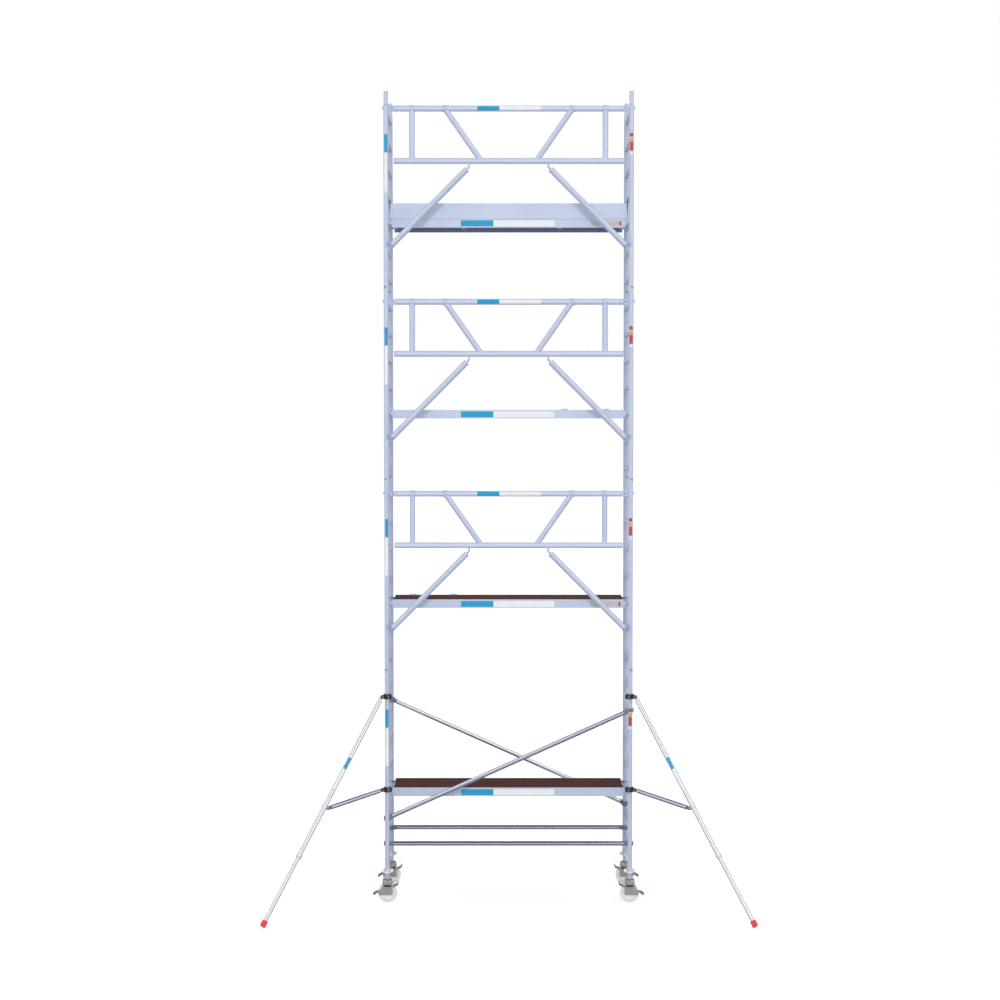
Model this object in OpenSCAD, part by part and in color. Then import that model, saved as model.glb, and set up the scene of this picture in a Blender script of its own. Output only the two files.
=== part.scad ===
// Mobile tower scaffold: ladder frames, hatch platforms, guardrails, braces, stabilisers, braked castors.
// Millimetres, +Z up, floor at z = 0. The guardrail side of the tower faces -Y.

/* [Tower] */
// Length of the bay, post centre to post centre
bay_len = 2500; // [2200:10:3000]
// Width of the ladder frames, post centre to post centre
frame_w = 850; // [820:10:1400]
// Height of the lowest frame over the floor
base_h = 323; // [318:1:360]

/* [Ladder frames] */
// Outside diameter of the posts
post_d = 50; // [48:0.5:52]
// Wall of the posts
post_wall = 2; // [1.5:0.1:3]
// Play of the spigot in the post above, on the radius
spigot_play = 1; // [0.5:0.1:2]
// Wall of the spigots
spigot_wall = 3; // [2.6:0.1:4]
// Length of the spigot over the frame's top
spigot_out = 145; // [135:1:200]
// Length of the spigot held inside the post
spigot_in = 100; // [60:1:200]
// Chamfer on the spigot's top edge
spigot_lead = 2; // [1:0.1:2.5]
// Diameter of the rungs without their ribs
rung_d = 42; // [34:0.5:44]
// Wall of the rungs
rung_wall = 2; // [1.5:0.1:3]
// Height of the ribs along the rungs
rib_h = 1; // [0.5:0.1:1.5]
// Width of the ribs
rib_w = 3; // [2:0.5:4]
// Ribs round one rung
ribs = 10; // [6:1:12]
// Height of the first rung over the frame's foot
rung_first = 215; // [190:5:220]
// Spacing of the rungs
rung_pitch = 280; // [250:5:300]
// Seam left between welded or pressed pieces
weld = 0.1; // [0.05:0.05:0.2]

/* [Frame lock clips] */
// Height of the lock pin over the foot of the upper frame
clip_up = 125; // [110:1:130]
// Diameter of the lock pin
clip_pin_d = 8; // [6:0.5:10]
// Play of the lock pin in its holes, on the radius
clip_play = 0.2; // [0.1:0.05:0.4]
// Diameter of the spring wire
clip_wire_d = 4; // [3:0.5:5]
// Tilt of the wire bow
clip_tilt = 32; // [10:1:40]

/* [Post jaws] */
// Gap between a jaw and its post
jaw_play = 0.3; // [0.2:0.05:0.6]
// Wall of a jaw
jaw_wall = 12; // [8:0.5:14]
// Height of a jaw
jaw_h = 45; // [36:1:60]
// Depth of the jaw's neck
jaw_neck = 32; // [24:1:36]
// Difference between the tube's diameter and the neck's height
neck_less = 2; // [1:0.5:6]
// Depth of the jaw past the post's middle, on its open side
jaw_mouth = 10; // [4:1:14]
// Length of the plug that holds a jaw in its tube
plug_len = 60; // [40:5:90]

/* [Guardrails] */
// Diameter of the guardrail's rails
rail_d = 60; // [56:0.5:62]
// Wall of the guardrail tubes
rail_wall = 2; // [1.5:0.1:3]
// Distance from the post's middle to the rail's end
rail_reach = 84; // [70:1:100]
// Depth of the top rail under the frame's top
rail_drop = 30; // [24:1:60]
// Depth of a rail's jaw under the rail's middle, over the rung
rail_jaw_low = 11; // [8:0.5:12]
// Distance between the two rails
rail_gap = 530; // [450:5:600]
// Diameter of the struts between the rails
strut_d = 57; // [40:0.5:58]
// Position of the upright struts from the middle
strut_x = 985; // [900:5:1020]
// Position of a leaning strut's top from the middle
lean_top = 650; // [550:5:750]
// Position of a leaning strut's foot from the middle
lean_low = 280; // [250:5:340]

/* [Guardrail braces] */
// Position of the brace's pivot from the middle
gb_x = 406; // [400:2:500]
// Depth of the brace's pivot under the lower rail's middle
gb_drop = 62; // [56:1:80]
// Angle of the brace from upright
gb_angle = 44.8; // [44:0.2:46]
// Diameter of the pivot pin
gb_pin_d = 10; // [8:0.5:12]
// Running play of the pivot pin, on the radius
gb_pin_play = 0.05; // [0.02:0.01:0.1]
// Radius of the clevis ears
gb_ear_r = 13; // [11:0.5:16]
// Thickness of a clevis ear
gb_ear_t = 6; // [4:0.5:8]
// How far the pivot pin stands out of the ears
gb_pin_out = 3; // [2:0.5:5]
// Step of the brace's blade inside the ears
gb_blade_in = 2; // [1.5:0.5:3]
// Thickness of the brace's blade
gb_blade_t = 10; // [8:0.5:14]
// Play beside the blade
gb_blade_play = 0.4; // [0.3:0.05:0.8]
// Distance from the pivot to the brace tube
gb_start = 30; // [26:1:40]
// Distance from the post's middle to the brace tube's end
gb_reach = 90; // [80:1:100]
// Rise of the brace's jaw over the tube's end
gb_jaw_up = 4; // [3:0.5:12]

/* [Lower braces] */
// Diameter of the lower braces
brace_d = 46; // [44:0.5:52]
// Wall of the lower braces
brace_wall = 2; // [1.5:0.1:3]
// Distance from the post's middle to the brace's end
brace_reach = 62; // [58:1:90]
// Height of the horizontal braces over the lowest frame's foot
horiz_up = 279; // [260:1:300]
// Height of a diagonal's low end over the lowest frame's foot
diag_low_up = 540; // [500:1:600]
// Height of a diagonal's high end over the lowest frame's foot
diag_high_up = 1660; // [1560:1:1680]

/* [Platforms] */
// Width of a platform
plat_w = 600; // [560:5:610]
// Distance from the near posts' middle to the platform's near face
plat_near = 160; // [150:5:215]
// Height of the side beams
beam_h = 88; // [80:1:110]
// Depth of the beams' underside under the rungs' middle
plat_under = 35; // [32:1:44]
// Width of the side beams
beam_w = 40; // [34:1:50]
// Wall of the side beams
beam_wall = 3; // [2:0.1:4]
// Distance from the post's middle to the beam's end
beam_end = 50; // [46:1:60]
// Width of the lip beside the plywood
lip_w = 16; // [15:0.5:20]
// Thickness of the plywood
ply_t = 12; // [10:0.5:14]
// Gap round the plywood
ply_play = 0.3; // [0.2:0.1:1]
// Distance from the post's middle to the plywood's end
ply_end = 61; // [55:1:80]
// Width of the end and cross members
cross_w = 40; // [30:1:50]
// Height of the end and cross members
cross_h = 44; // [34:1:60]
// Wall of the end and cross members
cross_wall = 2.5; // [2:0.1:4]
// Position of the free cross member from the middle
cross_x = 540; // [400:5:700]
// Wall of the hooks
hook_wall = 9; // [7:0.5:12]
// Play of the hooks on the rungs
hook_play = 0.5; // [0.3:0.1:1]

/* [Hatches] */
// Length of a hatch
hatch_len = 640; // [560:5:700]
// Distance from the plywood's end to the hatch
hatch_in = 74; // [60:2:120]
// Gap round a hatch
hatch_gap = 4; // [2:0.5:6]
// Length of a hinge
hinge_len = 70; // [50:1:90]
// Distance from the hatch's end to the hinge's middle
hinge_in = 105; // [60:5:150]
// Diameter of the hinge knuckles
knuckle_d = 10; // [9:0.5:10]
// Diameter of the hinge pins
hinge_pin_d = 5; // [4:0.5:6]
// Running play of the hinge pins, on the radius
hinge_play = 0.08; // [0.04:0.01:0.1]
// Thickness of the hinge leaf
leaf_t = 3; // [2:0.25:4]
// Length of the hinge leaf over the hatch
leaf_len = 52; // [40:1:70]

/* [Toe boards] */
// Height of the toe boards
toe_h = 158; // [140:1:180]
// Thickness of the toe boards
toe_t = 18; // [14:0.5:19]
// Overhang of the toe boards past the platform's face
toe_out = 8; // [6:0.5:12]
// Wall of the hollow toe boards
toe_wall = 2; // [1.5:0.1:3]
// Distance from the post's middle to the toe board's end
toe_end = 36; // [35:1:44]
// Wall of the corner clips
toe_clip_t = 8; // [5:0.5:9]

/* [Stabilisers] */
// Height of the upper clamp over the floor
stab_high = 2126; // [2080:1:2140]
// Height of the lower clamp over the floor
stab_low = 1164; // [1100:1:1200]
// Distance from the post's middle to the foot
stab_reach = 1620; // [1400:5:1800]
// Turn of the stabiliser away from the facade line
stab_turn = 44; // [30:1:60]
// Distance from the post's middle to the pivots
pivot_out = 72; // [68:1:90]
// Wall of the clamps
clamp_wall = 15; // [12:0.5:18]
// Height of the clamps
clamp_h = 50; // [40:1:54]
// Play of the clamps on the post, on the radius
clamp_play = 0.05; // [0.03:0.01:0.1]
// Split between the clamp's two sides
clamp_split = 4; // [3:0.5:6]
// Diameter of the stabiliser's pins
stab_pin_d = 12; // [10:0.5:14]
// Play of the blades on the stabiliser's pins, on the radius
stab_pin_play = 0.1; // [0.05:0.01:0.2]
// Radius of the ears and eyes
eye_r = 17; // [15:0.5:20]
// Thickness of the ears
ear_t = 7; // [5:0.5:9]
// Thickness of the blades
blade_t = 16; // [12:0.5:18]
// Diameter of the outer leg
leg_d = 46; // [42:0.5:50]
// Wall of the leg's tubes
leg_wall = 2.5; // [2:0.1:3]
// Play of the inner leg in the outer leg, on the radius
leg_play = 0.4; // [0.3:0.05:0.8]
// Length from the upper pivot to the outer leg's end
leg_outer = 1860; // [1700:5:1900]
// Length of the inner leg
leg_inner = 1400; // [1200:5:1500]
// Distance along the leg to the strut's bracket
strut_at = 1275; // [1100:5:1350]
// Distance from the leg's middle to the strut's pivot
strut_off = 48; // [47:1:60]
// Diameter of the strut
stab_strut_d = 44; // [36:0.5:46]
// Distance from the pivots to the strut's and leg's tubes
tube_start = 34; // [30:1:50]
// Diameter of the foot
foot_d = 58; // [54:0.5:66]
// Length of the foot
foot_len = 62; // [50:1:80]
// Rounding of the foot's edge
foot_round = 10; // [6:0.5:14]
// Thickness of the foot's end
foot_end = 15; // [10:0.5:20]

/* [Castors] */
// Diameter of the wheels
wheel_d = 195; // [185:1:196]
// Width of the wheels
wheel_w = 44; // [40:0.5:50]
// Width of the wheel's web
web_w = 18; // [14:0.5:24]
// Diameter of the wheel's hub
hub_d = 52; // [44:0.5:56]
// Radial height of the tyre
tyre_h = 22; // [16:0.5:28]
// Diameter of the axle bolt
axle_d = 16; // [12:0.5:18]
// Running play of the wheel on its axle, on the radius
axle_play = 0.06; // [0.03:0.01:0.1]
// Diameter of the fork's crown
crown_d = 105; // [98:1:108]
// Height of the crown's top over the floor
crown_top = 211; // [208:0.5:216]
// Height of the dark band over the floor
band_z = 160; // [156:1:164]
// Height of the dark band
band_h = 20; // [14:1:24]
// Depth of the dark band
band_in = 3; // [2:0.5:4]
// Gap over the wheel
roof_gap = 3; // [2:0.5:4]
// Height of the cheeks' lower edge over the floor
cheek_low = 73; // [66:1:78]
// Reach of the cheeks towards the pedal
cheek_fore = 94; // [88:1:98]
// Reach of the cheeks away from the pedal
cheek_aft = 56; // [50:1:60]
// Bevel of the cheeks' corners
cheek_bevel = 10; // [6:1:14]
// Thickness of the fork's cheeks
cheek_t = 5; // [4:0.5:7]
// Diameter of the king pin
king_d = 20; // [16:0.5:24]
// Running play of the king pin, on the radius
king_play = 0.05; // [0.02:0.01:0.1]
// Gap under the spindle's flange
flange_gap = 17; // [12:0.5:20]
// Gap over the crown's bolts
bolt_gap = 2; // [1:0.5:4]
// Diameter of the crown's bolts
bolt_d = 15; // [12:0.5:18]
// Diameter of the spindle's flange
flange_d = 92; // [86:1:98]
// Thickness of the spindle's flange
flange_t = 7; // [4:0.5:8]
// Play of the spindle in the post, on the radius
spindle_play = 2; // [1.5:0.1:2.5]
// Length of the spindle held inside the post
spindle_in = 450; // [400:10:600]
// Wall of the spindle
spindle_wall = 4; // [3:0.25:5]
// Depth of the spindle's thread
thread_h = 1.5; // [1:0.1:2]
// Spacing of the thread's turns
thread_pitch = 12; // [10:1:16]

/* [Adjusting nuts] */
// Diameter of the nut's body
nut_d = 66; // [62:1:76]
// Height of the nut
nut_h = 48; // [42:1:60]
// Depth of the nut's cup round the post's foot
nut_cup = 24; // [16:1:30]
// Play of the nut on the spindle, on the radius
nut_play = 0.3; // [0.3:0.05:0.5]
// Reach of the wings from the nut's middle
wing_r = 60; // [56:1:70]
// Thickness of the wings
wing_t = 12; // [8:0.5:16]

/* [Brakes] */
// Height of the rocker's pivot over the floor
rock_z = 139; // [137:0.5:141]
// Tilt of the rocker with the brake on
rock_tilt = 19.7; // [18:0.1:21]
// Diameter of the rocker's pins
rock_pin_d = 10; // [8:0.5:12]
// Running play of the rocker's pins, on the radius
rock_play = 0.05; // [0.03:0.01:0.1]
// Thickness of the rocker's arms
arm_t = 3.5; // [3:0.25:4]
// Height of the rocker's arms
arm_h = 16; // [12:0.5:18]
// Gap beside the rocker's arms
arm_gap = 0.6; // [0.4:0.05:1]
// Gap between the brake shoe and the tyre
shoe_gap = 0.6; // [0.4:0.05:1]
// Thickness of the brake shoe
shoe_t = 10; // [8:0.5:14]
// Reach of the pedal from the pivot
pedal_r = 162; // [150:1:170]
// Width of the pedal
pedal_w = 44; // [36:1:50]
// Reach of the release tab from the pivot
tab_r = 132; // [124:1:138]
// Thickness of the pedal at its root
pedal_t = 23; // [16:0.5:26]
// Drop of the pedal's end under its root
pedal_drop = 9; // [4:0.5:12]
// Rise of the release tab's end over the rocker
tab_up = 24; // [16:0.5:28]
// Distance from the pivot to the inner bridge
bridge_in = 95; // [94:0.5:100]

/* [Hidden] */
$fn = 48;
// One small step past a face that is cut
cut = 1;
// Frames stacked at each end
lifts = 4;
// Rungs in one frame
rungs = 7;
// Rung that carries a platform, from 0
plat_rung = 2;
// Lifts that carry a guardrail
rail_lifts = [2, 3, 4];
// Sides of the tower and their names
sides = [["left", -1], ["right", 1]];
// Rows of castors and their names: 0 is the near row
rows = [["near", 0], ["far", 1]];

lift_h = rungs * rung_pitch;
half_bay = bay_len / 2;
post_r = post_d / 2;
post_bore = post_d - 2 * post_wall;
spigot_d = post_bore - 2 * spigot_play;
rung_od = rung_d + 2 * rib_h;
jaw_od = post_d + 2 * (jaw_play + jaw_wall);
spindle_d = post_bore - 2 * spindle_play;

// Brace under a guardrail: from the pivot to the post's middle
gb_run = half_bay - gb_x;
gb_fall = gb_run / tan(gb_angle);
gb_len = norm([gb_run, gb_fall]);

// Platform sizes
plat_half = half_bay - beam_end;
ply_half = half_bay - ply_end;
ply_half_w = plat_w / 2 - lip_w - ply_play;
ledge_z = beam_h - ply_t;
hatch_x0 = -ply_half + hatch_in;
hatch_x1 = hatch_x0 + hatch_len;
hinge_y = plat_w / 2 - lip_w - ply_play / 2;
hinge_z = beam_h + knuckle_d / 2 + 0.5;
hinge_xs = [hatch_x0 + hinge_in, hatch_x1 - hinge_in];

// Stabiliser: the leg's angle from upright makes the foot's edge touch the floor
foot_r = foot_d / 2;
function foot_lift(a) = foot_round * (1 - cos(a)) + (foot_r - foot_round) * sin(a);
function lean(n) = atan2(stab_reach - pivot_out, stab_high - (n == 0 ? 0 : foot_lift(lean(n - 1))));
leg_a = lean(8);
leg_len = (stab_reach - pivot_out) / sin(leg_a);
inner_d = leg_d - 2 * leg_wall - 2 * leg_play;
function leg_point(s, off) = [pivot_out + s * sin(leg_a) - off * cos(leg_a),
                              stab_high - s * cos(leg_a) - off * sin(leg_a)];
strut_top = [pivot_out, stab_low];
strut_foot = leg_point(strut_at, strut_off);

// Reach of the foot in front of the near posts, and of the nuts behind them
foot_y = sin(stab_turn);
front = (stab_reach - foot_round * sin(leg_a)) * foot_y + foot_round
        + (foot_r - foot_round) * sqrt(1 - pow(sin(leg_a) * foot_y, 2));
back = frame_w + wing_r;
y_near = (front - back) / 2;
plat_y = y_near + plat_near + plat_w / 2;

// Castor sizes
wheel_r = wheel_d / 2;
roof_z = wheel_d + roof_gap;
arm_y = wheel_w / 2 + arm_gap;
cheek_in = arm_y + arm_t + arm_gap;
cheek_out = cheek_in + cheek_t;
nut_z = base_h - (nut_h - nut_cup);
// Wheel's middle seen from the tilted rocker
rock_cx = (rock_z - wheel_r) * sin(rock_tilt);
rock_cz = -(rock_z - wheel_r) * cos(rock_tilt);
shoe_x = rock_cx + shoe_gap + sqrt(pow(wheel_r, 2) - pow(-arm_h / 2 - rock_cz, 2));

// Colours
alu = [0.80, 0.82, 0.87];
bright = [0.74, 0.77, 0.84];
ply = [0.33, 0.24, 0.21];
black = [0.07, 0.07, 0.08];
red = [0.80, 0.10, 0.10];
taupe = [0.55, 0.52, 0.52];
pale = [0.90, 0.90, 0.88];
dark = [0.22, 0.23, 0.26];

// Mirror a right-hand piece to the left side
module on_side(s) {
  mirror([s < 0 ? 1 : 0, 0, 0]) children();
}

// Put a piece on the line from p to q of the XZ plane, with its +Z along the line
module along(p, q) {
  v = q - p;
  translate([p[0], 0, p[1]]) rotate([0, atan2(v[0], v[1]), 0]) children();
}

module tube(d, wall, len) {
  difference() {
    cylinder(d = d, h = len);
    translate([0, 0, -cut]) cylinder(d = d - 2 * wall, h = len + 2 * cut);
  }
}

module box_tube(x, y, len, wall) {
  linear_extrude(len) difference() {
    square([x, y], center = true);
    square([x - 2 * wall, y - 2 * wall], center = true);
  }
}

// Ladder frame

module post() {
  difference() {
    rotate_extrude() polygon([
      [post_r, 0],
      [post_r, lift_h],
      [spigot_d / 2, lift_h],
      [spigot_d / 2, lift_h + spigot_out - spigot_lead],
      [spigot_d / 2 - spigot_lead, lift_h + spigot_out],
      [spigot_d / 2 - spigot_wall, lift_h + spigot_out],
      [spigot_d / 2 - spigot_wall, lift_h - spigot_in],
      [post_bore / 2, lift_h - spigot_in],
      [post_bore / 2, 0]]);
    for (z = [clip_up, lift_h + clip_up])
      translate([0, 0, z]) rotate([90, 0, 0]) cylinder(d = clip_pin_d + 2 * clip_play, h = post_d);
  }
}

module rung_section() {
  difference() {
    union() {
      circle(d = rung_d);
      for (i = [0:ribs - 1])
        rotate(i * 360 / ribs) translate([0, -rib_w / 2]) square([rung_od / 2, rib_w]);
    }
    circle(d = rung_d - 2 * rung_wall);
  }
}

module rung() {
  difference() {
    rotate([-90, 0, 0]) linear_extrude(frame_w) rung_section();
    for (y = [0, frame_w])
      translate([0, y, -rung_d]) cylinder(d = post_d + 2 * weld, h = 2 * rung_d);
  }
}

module ladder_frame(s, k) {
  color(alu) translate([s * half_bay, y_near, base_h + (k - 1) * lift_h]) {
    for (y = [0, frame_w]) translate([0, y, 0]) post();
    for (i = [0:rungs - 1]) translate([0, 0, rung_first + i * rung_pitch]) rung();
  }
}

// Lock clip: a pin through both tube walls, and a wire bow round the outer side of the post

module lock_clip() {
  bow_r = (post_r + clip_wire_d / 2 + jaw_play) / cos(clip_tilt);
  pin_in = spigot_d / 2 - spigot_wall - 4;
  rotate([90, 0, 0]) translate([0, 0, pin_in]) cylinder(d = clip_pin_d, h = bow_r + clip_wire_d - pin_in);
  rotate([0, clip_tilt, 0]) rotate(-90) rotate_extrude(angle = 200)
    translate([bow_r, 0]) circle(d = clip_wire_d);
}

module lock_clips() {
  color(dark) for (s = [-1, 1], k = [1:lifts - 1], y = [0, frame_w])
    on_side(s) translate([half_bay, y_near + y, base_h + k * lift_h + clip_up]) lock_clip();
}

// Jaw on the post at p, with a neck and a plug on the line to q. mouth is the open side in Y.
// Near the post nothing reaches deeper than low

module hook(p, q, reach, neck, plug_d, mouth, low) {
  difference() {
    union() {
      translate([p[0], 0, p[1] - jaw_h / 2]) cylinder(d = jaw_od, h = jaw_h);
      along(p, q) translate([-neck / 2, -jaw_neck / 2, 0]) cube([neck, jaw_neck, reach - weld]);
      along(p, q) translate([0, 0, reach - weld - cut]) cylinder(d = plug_d, h = plug_len);
    }
    translate([p[0], 0, p[1] - 2 * jaw_h]) cylinder(d = post_d + 2 * jaw_play, h = 4 * jaw_h);
    translate([p[0] - jaw_od / 2 - cut, mouth * (jaw_mouth + jaw_od / 2) - jaw_od / 2, p[1] - jaw_h])
      cube([jaw_od + 2 * cut, jaw_od, 2 * jaw_h]);
    translate([p[0] - jaw_od / 2 - cut, -jaw_od, p[1] - low - jaw_h])
      cube([jaw_od + 2 * cut, 2 * jaw_od, jaw_h]);
  }
}

module hooked_tube(p, q, d, wall, reach, mouth, low = jaw_h) {
  neck = d - neck_less;
  along(p, q) translate([0, 0, reach]) tube(d, wall, norm(q - p) - 2 * reach);
  hook(p, q, reach, neck, d - 2 * wall - 2 * weld, mouth, low);
  hook(q, p, reach, neck, d - 2 * wall - 2 * weld, mouth, low);
}

// Lower braces. row 0 is the near side, 1 the far side, whose diagonal is mirrored

module diagonal_brace(row) {
  rise = row == 0 ? 1 : -1;
  mid = base_h + (diag_low_up + diag_high_up) / 2;
  half_rise = rise * (diag_high_up - diag_low_up) / 2;
  color(bright) translate([0, y_near + row * frame_w, 0])
    hooked_tube([-half_bay, mid - half_rise], [half_bay, mid + half_rise],
                brace_d, brace_wall, brace_reach, 2 * row - 1);
}

module horizontal_brace(row) {
  color(bright) translate([0, y_near + row * frame_w, 0])
    hooked_tube([-half_bay, base_h + horiz_up], [half_bay, base_h + horiz_up],
                brace_d, brace_wall, brace_reach, 2 * row - 1);
}

// Guardrail

module rail_cut(z) {
  translate([-half_bay, 0, z]) rotate([0, 90, 0]) cylinder(d = rail_d + 2 * weld, h = bay_len);
}

module strut(x0, x1) {
  difference() {
    along([x0, 0], [x1, -rail_gap]) tube(strut_d, rail_wall, norm([x1 - x0, rail_gap]));
    rail_cut(0);
    rail_cut(-rail_gap);
  }
}

module clevis() {
  ear_y = gb_blade_t / 2 + gb_blade_play;
  difference() {
    for (s = [-1, 1])
      translate([gb_x, s * (ear_y + gb_ear_t / 2), -rail_gap - gb_drop])
        rotate([90, 0, 0]) linear_extrude(gb_ear_t, center = true) {
          circle(r = gb_ear_r);
          translate([-gb_ear_r, 0]) square([2 * gb_ear_r, gb_drop]);
        }
    rail_cut(-rail_gap);
  }
  translate([gb_x, 0, -rail_gap - gb_drop]) rotate([90, 0, 0])
    cylinder(d = gb_pin_d, h = 2 * (ear_y + gb_ear_t + gb_pin_out), center = true);
}

module guardrail(k) {
  color(alu) translate([0, y_near, base_h + k * lift_h - rail_drop]) {
    hooked_tube([-half_bay, 0], [half_bay, 0], rail_d, rail_wall, rail_reach, -1, rail_jaw_low);
    translate([-half_bay + rail_reach, 0, -rail_gap]) rotate([0, 90, 0])
      tube(rail_d, rail_wall, bay_len - 2 * rail_reach);
    for (s = [-1, 1]) on_side(s) {
      strut(strut_x, strut_x);
      strut(lean_top, lean_low);
      clevis();
    }
  }
}

// Guardrail brace, drawn for the right side from its pivot

module guard_brace(s, k) {
  p = [gb_x, base_h + k * lift_h - rail_drop - rail_gap - gb_drop];
  q = p + [gb_run, -gb_fall];
  jaw_z = q[1] + gb_reach * cos(gb_angle) + gb_jaw_up;
  neck_out = (gb_reach - 2 * weld - (jaw_z - q[1] + jaw_neck / 2) * cos(gb_angle)) / sin(gb_angle);
  bore = rail_d - 2 * rail_wall;
  color(alu) on_side(s) translate([0, y_near, 0]) {
    along(p, q) translate([0, 0, gb_start]) tube(rail_d, rail_wall, gb_len - gb_start - gb_reach);
    difference() {
      union() {
        along(p, q) rotate([90, 0, 0]) cylinder(r = gb_ear_r - gb_blade_in, h = gb_blade_t, center = true);
        along(p, q) translate([-gb_ear_r + 2 * gb_blade_in, -gb_blade_t / 2, 0])
          cube([2 * gb_ear_r - 4 * gb_blade_in, gb_blade_t, gb_start + 2 * weld]);
        along(p, q) translate([0, 0, gb_start + weld]) cylinder(d = bore - 2 * weld, h = plug_len / 2);
      }
      along(p, q) rotate([90, 0, 0])
        cylinder(d = gb_pin_d + 2 * gb_pin_play, h = 2 * gb_blade_t, center = true);
    }
    difference() {
      union() {
        translate([q[0], 0, jaw_z - jaw_h / 2]) cylinder(d = jaw_od - 6, h = jaw_h);
        translate([q[0] - neck_out, -jaw_neck / 2, jaw_z - jaw_neck / 2])
          cube([neck_out, jaw_neck, jaw_neck]);
        along(q, p) translate([0, 0, gb_reach - 16]) cylinder(d = rail_d, h = 16 - weld);
        along(q, p) translate([0, 0, gb_reach - cut]) cylinder(d = bore - 2 * weld, h = plug_len / 2);
      }
      translate([q[0], 0, jaw_z - 2 * jaw_h]) cylinder(d = post_d + 2 * jaw_play, h = 4 * jaw_h);
      translate([q[0], -jaw_od, jaw_z - 2 * jaw_h]) cube([jaw_od, 2 * jaw_od, 4 * jaw_h]);
    }
  }
}

// Platform, drawn about its middle with z = 0 at the beams' underside. Platform 3 is turned end for end

module at_platform(k) {
  z = base_h + (k - 1) * lift_h + rung_first + plat_rung * rung_pitch - plat_under;
  translate([0, plat_y, z]) rotate(k == 3 ? 180 : 0) children();
}

module beam_section() {
  difference() {
    polygon([[0, 0], [beam_w, 0], [beam_w, ledge_z], [lip_w, ledge_z], [lip_w, beam_h], [0, beam_h]]);
    translate([beam_wall, beam_wall]) square([beam_w - 2 * beam_wall, ledge_z - 2 * beam_wall]);
    translate([beam_wall, ledge_z]) square([lip_w - 2 * beam_wall, ply_t - beam_wall]);
    for (v = [beam_h * 0.2, beam_h * 0.76]) translate([-cut, v]) square([cut + 0.8, 2.5]);
  }
}

module side_beam() {
  translate([-plat_half, -plat_w / 2, 0]) rotate([90, 0, 90]) linear_extrude(2 * plat_half) beam_section();
}

module cross_member(x) {
  len = plat_w - 2 * beam_w - 2 * weld;
  translate([x, -len / 2, ledge_z - cross_h / 2]) rotate([-90, 0, 0])
    box_tube(cross_w, cross_h, len, cross_wall);
}

// Hook over the rung at the right end, at one side beam
module rung_hook() {
  in_r = rung_od / 2 + hook_play;
  out_r = in_r + hook_wall;
  translate([half_bay, -plat_w / 2 + beam_w, plat_under]) rotate([90, 0, 0])
    linear_extrude(beam_w) difference() {
    union() {
      circle(r = out_r);
      translate([-beam_end + weld, 0]) square([beam_end - weld, out_r]);
    }
    circle(r = in_r);
    translate([-in_r, -out_r - cut]) square([2 * out_r, out_r - hook_wall + cut]);
    translate([-2 * out_r, -out_r - cut]) square([2 * out_r, out_r + cut]);
  }
}

// Fixed knuckles of one hinge, on the far lip
module fixed_knuckles(x) {
  side = hinge_len * 0.3;
  for (x0 = [x - hinge_len / 2, x + hinge_len / 2 - side]) difference() {
    union() {
      translate([x0, hinge_y, hinge_z]) rotate([0, 90, 0]) cylinder(d = knuckle_d, h = side);
      translate([x0, hinge_y + ply_play, beam_h - cut])
        cube([side, knuckle_d / 2 - ply_play, hinge_z - beam_h + cut]);
    }
    translate([x0 - cut, hinge_y, hinge_z]) rotate([0, 90, 0])
      cylinder(d = hinge_pin_d + 2 * hinge_play, h = side + 2 * cut);
  }
}

module platform_frame(k) {
  has_hatch = k > 1;
  end_x = plat_half - cross_w / 2;
  color(alu) at_platform(k) {
    for (a = [0, 180]) rotate(a) {
      side_beam();
      cross_member(end_x);
      rung_hook();
      mirror([1, 0, 0]) rung_hook();
    }
    cross_member(cross_x);
    if (has_hatch) {
      cross_member(hatch_x1 + hatch_gap);
      for (x = hinge_xs) fixed_knuckles(x);
    } else {
      cross_member(-cross_x);
    }
  }
}

module ply_panel(x0, x1) {
  translate([x0, -ply_half_w, ledge_z]) cube([x1 - x0, 2 * ply_half_w, ply_t]);
}

module deck(k) {
  color(ply) at_platform(k) {
    if (k > 1) {
      ply_panel(-ply_half, hatch_x0 - hatch_gap);
      ply_panel(hatch_x1 + hatch_gap, ply_half);
    } else {
      ply_panel(-ply_half, ply_half);
    }
  }
}

module hatch(k) {
  mid = hinge_len * 0.4 - 1;
  color(ply) at_platform(k) {
    ply_panel(hatch_x0, hatch_x1);
    for (x = hinge_xs) {
      translate([x - hinge_len / 2, hinge_y - leaf_len, beam_h - weld])
        cube([hinge_len, leaf_len - knuckle_d / 2 - 1, leaf_t + weld]);
      translate([x - mid / 2, hinge_y - knuckle_d, beam_h - weld])
        cube([mid, knuckle_d - ply_play, leaf_t + weld]);
      translate([x, hinge_y, hinge_z]) rotate([0, 90, 0]) cylinder(d = knuckle_d, h = mid, center = true);
      translate([x, hinge_y, hinge_z]) rotate([0, 90, 0])
        cylinder(d = hinge_pin_d, h = hinge_len, center = true);
    }
  }
}

// Toe boards of the top platform

module board(len) {
  rotate([90, 0, 90]) translate([0, 0, -len / 2]) linear_extrude(len) difference() {
    square([toe_t, toe_h]);
    for (v = [0, 1]) translate([toe_wall, toe_wall + v * (toe_h - toe_wall) / 2])
      square([toe_t - 2 * toe_wall, (toe_h - toe_wall) / 2 - toe_wall]);
  }
}

module toe_boards() {
  long = 2 * (half_bay - toe_end);
  short = plat_w + 2 * toe_out - 2 * toe_t - 2 * weld;
  color(alu) at_platform(lifts) translate([0, 0, beam_h]) for (a = [0, 180]) rotate(a) {
    translate([0, -plat_w / 2 - toe_out, 0]) board(long);
    translate([ply_half - cut, 0, 0]) rotate(90) board(short);
  }
}

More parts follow.
